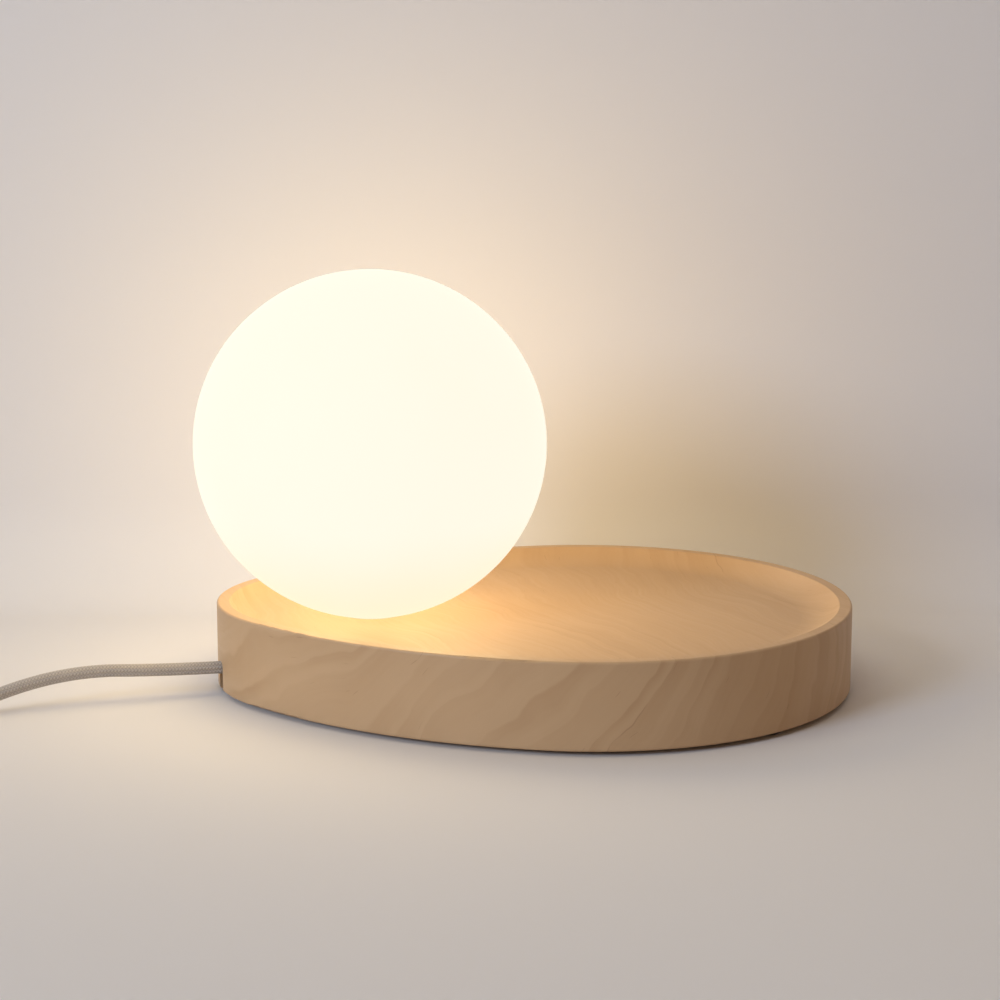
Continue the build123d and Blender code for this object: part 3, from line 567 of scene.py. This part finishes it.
def beechMaterial():
    material, tree, shader, place = startMaterial("paleBeech")
    spot = axesOf(tree, place["Object"])
    wood = beechSettings
    weights = wood["weights"]

    def noise(scale, detail, roughness=0.5, source=None):
        values = {"Scale": scale, "Detail": detail, "Roughness": roughness}
        return minus(tree, noiseAt(tree, source or place["Object"], values).outputs["Fac"], 0.5)

    def within(value, span, top=1.0):
        return ease(tree, value, *span, top=top)

    def risesAndFalls(value, rise, fall):
        return times(tree, within(value, rise), minus(tree, 1.0, within(value, fall)))

    # distance across the growth bands, which stand steeper towards the wide end
    lean = ease(tree, spot["X"], *wood["leanSpan"], *wood["bandLean"])
    sideways = times(tree, spot["X"], wood["bandNormal"][0])
    backwards = times(tree, spot["Y"], wood["bandNormal"][1])
    upwards = times(tree, spot["Z"], lean)
    slow, quick = [times(tree, noise(scale, 2.0), swing) for scale, swing in wood["wander"].items()]
    wander = plus(tree, slow, quick)
    ring = plus(tree, plus(tree, sideways, backwards), plus(tree, upwards, wander))

    # the bands are of uneven width, and each has a tone of its own
    rings = calc(tree, "DIVIDE", ring, wood["bandSpacing"])
    unevenScale, unevenSwing = wood["uneven"]
    uneven = put(tree, "ShaderNodeTexNoise", {"Scale": unevenScale, "Detail": 2.0}, noise_dimensions="1D")
    join(tree, rings, uneven.inputs["W"])
    ringPlace = vary(tree, rings, uneven.outputs["Fac"], unevenSwing)
    inRing = calc(tree, "FRACT", ringPlace)
    each = put(tree, "ShaderNodeTexWhiteNoise", noise_dimensions="1D")
    join(tree, calc(tree, "FLOOR", ringPlace), each.inputs["W"])
    patch = wood["patches"]
    patches = plus(tree, patch["least"], within(noise(patch["scale"], 2.0), patch["span"], patch["swing"]))
    least, swing = wood["bandTone"]
    ringTone = vary(tree, least, each.outputs["Value"], swing)
    bands = risesAndFalls(inRing, wood["bandRise"], wood["bandFall"])
    bands = times(tree, bands, times(tree, ringTone, patches))
    facing = axesOf(tree, put(tree, "ShaderNodeNewGeometry").outputs["Normal"])
    flat = within(facing["Z"], wood["flat"]["span"], wood["flat"]["loss"])
    bands = times(tree, bands, minus(tree, 1.0, flat))  # bands run out on the faces turned up

    # one band edge in four is drawn as a fine broken line
    edges = risesAndFalls(inRing, wood["lineRise"], wood["lineFall"])
    drawn = times(tree, edges, calc(tree, "GREATER_THAN", each.outputs["Value"], wood["lineShare"]))
    breaks = wood["lineBreaks"]
    lines = times(tree, drawn, within(noise(breaks["scale"], 2.0), breaks["span"], breaks["top"]))

    # fibres and flecks lie in the bands, drawn out along them
    def inBand(across, along):
        way = put(tree, "ShaderNodeCombineXYZ")
        join(tree, times(tree, ring, across), way.inputs["X"])
        join(tree, times(tree, spot["Y"], along), way.inputs["Y"])
        join(tree, times(tree, spot["Z"], along), way.inputs["Z"])
        return way.outputs["Vector"]

    fibres = noise(1.0, 3.0, 0.6, inBand(*wood["fibres"]))
    flecks = within(noise(1.0, 1.0, 0.4, inBand(*wood["flecks"])), wood["fleckSpan"], wood["fleckTop"])
    clouds = noise(wood["clouds"], 3.0, 0.55)

    depth = plus(tree, times(tree, bands, weights["bands"]), times(tree, fibres, weights["fibres"]))
    depth = vary(tree, depth, clouds, weights["clouds"])
    body = blendTones(tree, plus(tree, depth, weights["plain"]), wood["pale"], wood["deep"])
    marks = calc(tree, "MAXIMUM", lines, flecks)
    join(tree, blendTones(tree, marks, body, wood["line"]), shader.inputs["Base Color"])
    least, swing = wood["roughness"]
    join(tree, vary(tree, least, fibres, swing), shader.inputs["Roughness"])
    bumpFrom(tree, minus(tree, fibres, times(tree, marks, wood["markDepth"])), shader, *wood["relief"])
    shader.inputs["IOR"].default_value = wood["ior"]
    return material


finish["paleBeech"] = beechMaterial()


# opal glass, lit from inside: brightest level with the bulb, warmer towards the neck
opalSettings = {
    "bright": (1.0, 0.965, 0.815),
    "warm": (1.0, 0.890, 0.665),
    "body": (0.06, 0.055, 0.045),
    "glow": 0.97,
    "warmBelow": (0.034, 0.085),
    "haze": {"Scale": 22.0, "Detail": 2.0},
    "hazeSwing": 0.3,
    "roughness": (0.62, 0.12),
    "specular": 0.2,
}


def opalMaterial():
    material, tree, shader, place = startMaterial("opalGlass")
    rise = ease(tree, axesOf(tree, place["Object"])["Z"], *opalSettings["warmBelow"])
    haze = noiseAt(tree, place["Object"], opalSettings["haze"]).outputs["Fac"]
    level = vary(tree, rise, minus(tree, haze, 0.5), opalSettings["hazeSwing"])
    glow = blendTones(tree, level, opalSettings["warm"], opalSettings["bright"])
    join(tree, glow, shader.inputs["Emission Color"])
    shader.inputs["Emission Strength"].default_value = opalSettings["glow"]
    shader.inputs["Base Color"].default_value = (*opalSettings["body"], 1)
    least, swing = opalSettings["roughness"]
    join(tree, vary(tree, least, haze, swing), shader.inputs["Roughness"])
    shader.inputs["Specular IOR Level"].default_value = opalSettings["specular"]
    return material


finish["opalGlass"] = opalMaterial()


# frosted bulb envelope
frostSettings = {
    "tint": (0.95, 0.91, 0.80),
    "shade": 0.93,
    "glow": (1.0, 0.90, 0.66),
    "strength": 1.6,
    "grain": {"Scale": 1400.0, "Detail": 2.0},
    "roughness": (0.42, 0.15),
    "relief": (0.1, 0.0001),
}


def frostMaterial():
    material, tree, shader, place = startMaterial("frostedGlass")
    grain = noiseAt(tree, place["Object"], frostSettings["grain"]).outputs["Fac"]
    shade = tuple(value * frostSettings["shade"] for value in frostSettings["tint"])
    join(tree, blendTones(tree, grain, frostSettings["tint"], shade), shader.inputs["Base Color"])
    shader.inputs["Emission Color"].default_value = (*frostSettings["glow"], 1)
    shader.inputs["Emission Strength"].default_value = frostSettings["strength"]
    least, swing = frostSettings["roughness"]
    join(tree, vary(tree, least, grain, swing), shader.inputs["Roughness"])
    bumpFrom(tree, grain, shader, *frostSettings["relief"])
    return material


finish["frostedGlass"] = frostMaterial()


# braided textile sleeve of the cord
braidSettings = {
    "light": (0.570, 0.523, 0.486),
    "dark": (0.280, 0.252, 0.231),
    "strands": 9.0,
    "lay": 1.3,
    "lays": (0.62, 0.28),  # the strands of one lay catch more light than those of the other
    "wear": {"Scale": 160.0, "Detail": 3.0},
    "wearSwing": 0.36,
    "roughness": (0.70, 0.2),
    "relief": (0.8, 0.0003),
    "sheen": 0.15,
    "sheenRoughness": 0.5,
}


def braidMaterial():
    material, tree, shader, place = startMaterial("braidedSleeve")
    spot = axesOf(tree, place["UV"])
    twist = {"Strands": braidSettings["strands"], "Lay": braidSettings["lay"]}
    weave = put(tree, "ShaderNodeGroup", twist, node_tree=weaveGroup)
    join(tree, spot["X"], weave.inputs["Along"])
    join(tree, spot["Y"], weave.inputs["Around"])
    crown = weave.outputs["Crown"]
    worn = noiseAt(tree, place["Object"], braidSettings["wear"]).outputs["Fac"]
    # painted shade and painted highlight: the tone runs from dark in the gaps between the strands to light
    # on their crowns, more so on one lay; the worn noise laid over it is real wear
    least, swing = braidSettings["lays"]
    strands = times(tree, crown, vary(tree, least, weave.outputs["Over"], swing))
    level = vary(tree, strands, worn, braidSettings["wearSwing"])
    tone = blendTones(tree, level, braidSettings["dark"], braidSettings["light"])
    join(tree, tone, shader.inputs["Base Color"])
    least, swing = braidSettings["roughness"]
    join(tree, vary(tree, least, worn, swing), shader.inputs["Roughness"])
    bumpFrom(tree, crown, shader, *braidSettings["relief"])
    shader.inputs["Sheen Weight"].default_value = braidSettings["sheen"]
    shader.inputs["Sheen Roughness"].default_value = braidSettings["sheenRoughness"]
    return material


finish["braidedSleeve"] = braidMaterial()
print("main finishes built")


# tie round the coil: a woven strap, its tail laid over the top and stitched down
tieSettings = {
    "thickness": 0.0008,
    "corner": 0.0025,
    "edge": (0.00022, 40),  # width of the bevel, and the angle from which an edge gets it
    "tailLength": 0.0185,
    "tailThickness": 0.0007,
    "tailInset": 0.0022,
    "tailRound": 0.0034,
    "tailEdge": (0.00018, 50),
    "tailLift": 0.0009,
    "tailCuts": (0.55, 0.66, 0.77, 0.88),  # shares of the tail, cut and then lifted beyond
    "tailBends": (0.60, 0.71, 0.82, 0.93),
    "stitch": (0.00032, 0.0012, 0.0003),
    "stitchEdge": 0.00012,
    "stitchRows": (0.0022, 0.0038),
    "stitchSteps": (-0.0024, -0.0008, 0.0008, 0.0024),
    "smoothAngle": 35,
    "tone": (0.085, 0.080, 0.076),
    "shade": (0.028, 0.026, 0.025),
    "ribSize": 0.0011,
    "selvedge": (0.0009, 0.0006),  # from the strap's edge, where the ribs end
    "fuzz": {"Scale": 1900.0, "Detail": 3.0, "Roughness": 0.7},
    "weights": {"ribs": 0.7, "fuzz": 0.5},
    "roughness": (0.68, 0.25),
    "relief": (0.6, 0.0003),
    "sheen": 0.2,
}


def tieMaterial(middle, halfWidth):
    material, tree, shader, place = startMaterial("tieWebbing")
    spot = axesOf(tree, place["Object"])
    weave = put(tree, "ShaderNodeGroup", {"Strands": 1.0, "Lay": 1.0}, node_tree=weaveGroup)
    along = plus(tree, spot["X"], spot["Z"])
    for way, label in ((along, "Along"), (spot["Y"], "Around")):
        join(tree, calc(tree, "DIVIDE", way, tieSettings["ribSize"]), weave.inputs[label])
    fromMiddle = calc(tree, "ABSOLUTE", minus(tree, spot["Y"], middle))
    ribsEnd, edgeStart = [halfWidth - inset for inset in tieSettings["selvedge"]]
    selvedge = ease(tree, fromMiddle, ribsEnd, edgeStart, kind="LINEAR")
    fuzz = noiseAt(tree, place["Object"], tieSettings["fuzz"]).outputs["Fac"]
    # painted shade: the ribs are lighter on their crowns and darker in the grooves between them; the fuzz
    # varies the tone at random
    ribs = times(tree, weave.outputs["Crown"], minus(tree, 1.0, selvedge))
    level = times(tree, ribs, tieSettings["weights"]["ribs"])
    level = vary(tree, level, fuzz, tieSettings["weights"]["fuzz"])
    tone = blendTones(tree, level, tieSettings["shade"], tieSettings["tone"])
    join(tree, tone, shader.inputs["Base Color"])
    least, swing = tieSettings["roughness"]
    join(tree, vary(tree, least, fuzz, swing), shader.inputs["Roughness"])
    bumpFrom(tree, level, shader, *tieSettings["relief"])
    shader.inputs["Sheen Weight"].default_value = tieSettings["sheen"]
    return material


def tieStrap():
    low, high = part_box("coil_tie")
    middle, size = (low + high) / 2, high - low
    thickness = tieSettings["thickness"]
    webbing = tieMaterial(middle.y, size.y / 2)
    strapSize = (size.x - thickness, size.y, size.z - thickness)
    strap = addShape(bpy.ops.mesh.primitive_cube_add, "tieStrap", middle, strapSize)

    def acrossWidth(edge):
        first, second = endsOf(strap, edge)
        return abs(first.y - second.y) > size.y / 2

    pick(strap, faces=lambda face: abs(face.normal.y) > 0.9)
    bpy.ops.mesh.delete(type="FACE")
    setBack()
    pick(strap, edges=acrossWidth)
    bpy.ops.mesh.bevel(offset=tieSettings["corner"] - thickness / 2, segments=7, affect="EDGES")
    setBack()
    pick(strap, edges=acrossWidth)
    bpy.ops.mesh.subdivide(number_cuts=5)
    setBack()
    finishWith(strap, "SOLIDIFY", thickness=thickness, offset=0.0)
    bevelSharp(strap, *tieSettings["edge"])
    strap.data.materials.append(webbing)

    # tail with a rounded end that lifts a little
    tailLength, tailThickness = tieSettings["tailLength"], tieSettings["tailThickness"]
    tailStart = low.x + tieSettings["tailInset"]
    tailEnd = tailStart + tailLength
    tailMiddle = ((tailStart + tailEnd) / 2, middle.y, high.z + tailThickness / 2)
    tail = addShape(bpy.ops.mesh.primitive_plane_add, "tieTail", tailMiddle, (tailLength, size.y, 1))
    pick(tail, vertices=lambda vertex: vertex.co.x > tailEnd - tiny)
    bpy.ops.mesh.bevel(offset=tieSettings["tailRound"], segments=7, affect="VERTICES")
    setBack()
    cutAcross(tail, tailStart, tailLength, tieSettings["tailCuts"])
    for share in tieSettings["tailBends"]:
        limit = tailStart + share * tailLength
        pick(tail, vertices=lambda vertex: vertex.co.x > limit)
        bpy.ops.transform.translate(value=(0, 0, tieSettings["tailLift"] / len(tieSettings["tailBends"])))
        setBack()
    finishWith(tail, "SOLIDIFY", thickness=tailThickness, offset=0.0)
    bevelSharp(tail, *tieSettings["tailEdge"])
    tail.data.materials.append(webbing)

    # one stitch, copied in two rows
    stitchSpots = [
        (tailStart + row, middle.y + step, high.z + tailThickness)
        for row in tieSettings["stitchRows"] for step in tieSettings["stitchSteps"]
    ]
    deselectAll()
    bpy.ops.mesh.primitive_cube_add(size=1, location=stitchSpots[0])
    stitches = [bpy.context.object]
    stitches[0].scale = tieSettings["stitch"]
    bpy.ops.object.transform_apply(location=False, rotation=True, scale=True)
    finishWith(stitches[0], "BEVEL", width=tieSettings["stitchEdge"], segments=3)
    stitches[0].data.materials.append(finish["tieThread"])
    for spot in stitchSpots[1:]:
        selectOnly(stitches[0])
        bpy.ops.object.duplicate(linked=False)
        stitches.append(bpy.context.object)
        stitches[-1].location = spot
    selectOnly(strap)
    for part in [tail] + stitches:
        part.select_set(True)
    bpy.ops.object.join()
    smoothBy(strap, tieSettings["smoothAngle"])
    return strap


# plug's sleeve, with the ribs that let a real sleeve bend with the cord
sleeveSettings = {
    "sides": 48,
    "startRadius": 0.0036,
    "grooves": 6,
    "first": 0.0030,
    "pitch": 0.0032,
    "width": 0.0013,
    "cuts": (0.0, 0.2, 0.8, 1.0),
    "waist": 0.80,
    "edge": (0.00018, 35),
    "smoothAngle": 35,
}


def ribbedSleeve():
    low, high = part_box("plug_sleeve")
    middle, size = (low + high) / 2, high - low
    deselectAll()
    bpy.ops.mesh.primitive_cone_add(
        vertices=sleeveSettings["sides"], radius1=sleeveSettings["startRadius"], radius2=size.y / 2,
        depth=size.x, location=middle, rotation=(0, radians(90), 0),
    )
    sleeve = bpy.context.object
    sleeve.name = "ribbedSleeve"
    bpy.ops.object.transform_apply(location=True, rotation=True, scale=True)
    waist = sleeveSettings["waist"]
    cutGrooves(sleeve, low, middle, sleeveSettings, (1, waist, waist))
    bevelSharp(sleeve, *sleeveSettings["edge"])
    smoothBy(sleeve, sleeveSettings["smoothAngle"])
    sleeve.data.materials.append(finish["plugRubber"])
    return sleeve


# plug's body, with finger grips down both sides
gripSettings = {
    "corner": 0.0040,
    "edge": 0.0017,
    "grooves": 5,
    "first": 0.0068,
    "pitch": 0.0043,
    "width": 0.0022,
    "cuts": (0.0, 0.3, 0.7, 1.0),
    "depth": 0.0008,
    "reach": 0.0006,
    "smoothAngle": 28,
}


def grippedPlug():
    low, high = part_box("plug_body")
    middle, size = (low + high) / 2, high - low
    plug = addShape(bpy.ops.mesh.primitive_cube_add, "grippedPlug", middle, size)

    def heightOf(edge):
        first, second = endsOf(plug, edge)
        return abs(first.z - second.z)

    def atSide(vertex):
        return abs(vertex.co.y - middle.y) > size.y / 2 - gripSettings["reach"]

    pick(plug, edges=lambda edge: heightOf(edge) > size.z / 2)
    bpy.ops.mesh.bevel(offset=gripSettings["corner"], segments=6, affect="EDGES")
    setBack()
    pick(plug, edges=lambda edge: heightOf(edge) < tiny)
    bpy.ops.mesh.bevel(offset=gripSettings["edge"], segments=4, affect="EDGES")
    setBack()
    waist = 1 - 2 * gripSettings["depth"] / size.y
    cutGrooves(plug, low, middle, gripSettings, (1, waist, 1), atSide)
    smoothBy(plug, gripSettings["smoothAngle"])
    plug.data.materials.append(finish["plugPlastic"])
    return plug


plug = grippedPlug()
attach(plug, "base")
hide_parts("plug_body")
tie = tieStrap()
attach(tie, "base")
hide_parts("coil_tie")
sleeve = ribbedSleeve()
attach(sleeve, "base")
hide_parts("plug_sleeve")
print("tie, plug and sleeve made:", [len(piece.data.polygons) for piece in (tie, plug, sleeve)], "faces")


# which finish each solid wears
wears = {
    "paleBeech": ["base_tray"],
    "footRubber": ["foot_pads"],
    "coverPlastic": ["bottom_cover"],
    "screwSteel": ["cover_screws", "collar_screws", "holder_screws", "terminal_screws", "block_screw",
                   "clamp_screws", "switch_pin", "switch_screws"],
    "collarAluminium": ["globe_collar"],
    "sealRubber": ["neck_seal"],
    "opalGlass": ["globe"],
    "ceramicWhite": ["lampholder"],
    "contactBrass": ["holder_contacts", "bulb_pins", "terminal_sleeves", "switch_contacts"],
    "leadSheath": ["holder_leads", "cord_cores"],
    "bulbPlastic": ["bulb_base"],
    "boardWhite": ["bulb_board"],
    "frostedGlass": ["bulb_envelope"],
    "terminalPlastic": ["terminal_block"],
    "clampSteel": ["cord_clamp"],
    "switchPlastic": ["switch_lower_shell", "switch_upper_shell"],
    "rockerPlastic": ["switch_rocker"],
    "plugNickel": ["plug_pins"],
}
for name, members in wears.items():
    for member in members:
        cad[member].data.materials.clear()
        cad[member].data.materials.append(finish[name])

for cord in (leadCord, flexCord):
    cord.data.materials.append(finish["braidedSleeve"])
    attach(cord, "base")
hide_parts("cord_lead")
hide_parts("cord_link", "cord_coil", "cord_tail")
print("solids dressed")


# floor that sweeps up into a plain wall behind the lamp, and more floor behind that;
# from behind, the wall lets the view and the light through
stageSettings = {
    "front": -2.4,
    "back": 0.171,
    "far": 2.4,
    "half": 2.4,
    "height": 2.2,
    "sweep": 0.05,
    "backReach": 0.01,
    "wallFrom": 0.0005,
    "farLevel": -0.0005,
    "tone": (0.785, 0.774, 0.788),
    "edge": (0.80, 0.77, 0.74),
    "fade": (0.60, 1.50),
    "farTone": (0.90, 0.905, 0.965),
    "farLeast": 0.18,
    "roughness": 0.85,
    "specular": 0.2,
}


# true for what the camera sees, straight or in a gloss, and not for the light that falls
def showsBackground(tree, rays):
    mirrored = calc(tree, "MAXIMUM", rays["Is Glossy Ray"], rays["Is Transmission Ray"])
    return calc(tree, "MAXIMUM", rays["Is Camera Ray"], mirrored)


def mixShaders(tree, factor, first, second):
    node = put(tree, "ShaderNodeMixShader")
    for source, socket in zip((factor, first, second), node.inputs):
        join(tree, source, socket)
    return node.outputs["Shader"]


def stageMaterial(name, tone, least):
    material, tree, shader, place = startMaterial(name)
    shader.inputs["Base Color"].default_value = (*tone, 1)
    shader.inputs["Roughness"].default_value = stageSettings["roughness"]
    shader.inputs["Specular IOR Level"].default_value = stageSettings["specular"]
    rays = put(tree, "ShaderNodeLightPath").outputs

    # far out, the stage runs into the colour behind it
    reach = put(tree, "ShaderNodeVectorMath", operation="LENGTH")
    join(tree, place["Object"], reach.inputs[0])
    fade = ease(tree, reach.outputs["Value"], *stageSettings["fade"], bottom=least)
    plain = put(tree, "ShaderNodeEmission", {"Color": (*stageSettings["edge"], 1), "Strength": 1.0})
    fadeSeen = times(tree, fade, showsBackground(tree, rays))
    surface = mixShaders(tree, fadeSeen, shader.outputs["BSDF"], plain.outputs["Emission"])

    # clear from behind, and the wall also to the light
    height = axesOf(tree, place["Object"])["Z"]
    isWall = calc(tree, "GREATER_THAN", height, stageSettings["wallFrom"])
    lightThrough = times(tree, rays["Is Shadow Ray"], isWall)
    behind = put(tree, "ShaderNodeNewGeometry").outputs["Backfacing"]
    clear = put(tree, "ShaderNodeBsdfTransparent").outputs["BSDF"]
    shown = mixShaders(tree, calc(tree, "MAXIMUM", behind, lightThrough), surface, clear)
    join(tree, shown, tree.nodes["Material Output"].inputs["Surface"])
    return material


def flatPiece(name, front, back, level):
    middle, size = (0, (back + front) / 2, level), (2 * stageSettings["half"], back - front, 1)
    piece = addShape(bpy.ops.mesh.primitive_plane_add, name, middle, size)
    return piece


def sweepStage():
    stage = flatPiece("paleSweep", stageSettings["front"], stageSettings["back"], 0)
    reach = stageSettings["backReach"]

    def backEdge(edge):
        return all(end.y > stageSettings["back"] - reach and end.z < reach for end in endsOf(stage, edge))

    pick(stage, edges=backEdge)
    bpy.ops.mesh.extrude_region_move(TRANSFORM_OT_translate={"value": (0, 0, stageSettings["height"])})
    setBack()
    pick(stage, edges=backEdge)
    bpy.ops.mesh.bevel(offset=stageSettings["sweep"], segments=24)
    setBack()
    bpy.ops.object.shade_smooth()
    stage.data.materials.append(stageMaterial("paleStage", stageSettings["tone"], 0.0))
    farFront = stageSettings["back"] - stageSettings["sweep"]
    farFloor = flatPiece("farFloor", farFront, stageSettings["far"], stageSettings["farLevel"])
    farMaterial = stageMaterial("farStage", stageSettings["farTone"], stageSettings["farLeast"])
    farFloor.data.materials.append(farMaterial)
    print("stage set:", len(stage.data.polygons), "faces")


sweepStage()

# cool soft light from the front left, a little warm light from the side, a warm soft box above,
# weak fill from the world, and the lamp's own glow
lightSettings = {
    "front": {"place": (-2.42, -2.36, 1.45), "aim": (0.0, 0.0, 0.03), "size": 1.1, "energy": 52.5,
              "tone": (0.54, 0.72, 1.0)},
    "side": {"place": (-3.00, -1.40, 1.10), "aim": (0.0, 0.0, 0.03), "size": 0.7, "energy": 12.0,
             "tone": (1.0, 0.95, 0.71)},
    "above": {"place": (-0.95, -0.60, 2.87), "aim": (0.0, 0.0, 0.03), "size": 2.4, "energy": 18.3,
              "tone": (1.0, 0.93, 0.70)},
    "glow": {"radius": 0.073, "belowTop": 0.0741, "energy": 0.775, "tone": (1.0, 0.70, 0.315)},
    "world": {"tone": (1.0, 0.635, 0.33), "strength": 0.214, "seen": (0.80, 0.77, 0.74)},
}


def addLight(kind, name, settings, place, turn=(0, 0, 0)):
    deselectAll()
    bpy.ops.object.light_add(type=kind, location=place, rotation=turn)
    lamp = bpy.context.object
    lamp.name = name
    lamp.data.energy = settings["energy"]
    lamp.data.color = settings["tone"]
    return lamp


def softBox(name, settings):
    way = Vector(settings["aim"]) - Vector(settings["place"])
    lamp = addLight("AREA", name, settings, settings["place"], way.to_track_quat("-Z", "Y").to_euler())
    lamp.data.shape = "SQUARE"
    lamp.data.size = settings["size"]


def globeGlow(settings):
    low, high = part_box("globe")
    middle = (low + high) / 2
    lamp = addLight("POINT", "globeGlow", settings, (middle.x, middle.y, high.z - settings["belowTop"]))
    lamp.data.shadow_soft_size = settings["radius"]
    # the glass lets the glow out, and still stands in the way of the soft boxes
    letThrough = bpy.data.collections.new("letThrough")
    letThrough.objects.link(cad["globe"])
    letThrough.collection_objects[0].light_linking.link_state = "EXCLUDE"
    lamp.light_linking.blocker_collection = letThrough


def studioWorld(settings):
    world = bpy.data.worlds.new("studio")
    scene.world = world
    world.use_nodes = True
    tree = world.node_tree
    light = tree.nodes["Background"]
    light.inputs["Color"].default_value = (*settings["tone"], 1)
    light.inputs["Strength"].default_value = settings["strength"]
    seen = put(tree, "ShaderNodeBackground", {"Color": (*settings["seen"], 1), "Strength": 1.0})
    shown = showsBackground(tree, put(tree, "ShaderNodeLightPath").outputs)
    both = mixShaders(tree, shown, light.outputs["Background"], seen.outputs["Background"])
    join(tree, both, tree.nodes["World Output"].inputs["Surface"])


for name in ("front", "side", "above"):
    softBox(name + "Light", lightSettings[name])
globeGlow(lightSettings["glow"])
studioWorld(lightSettings["world"])
scene.view_settings.view_transform = "Standard"
print("lights set")
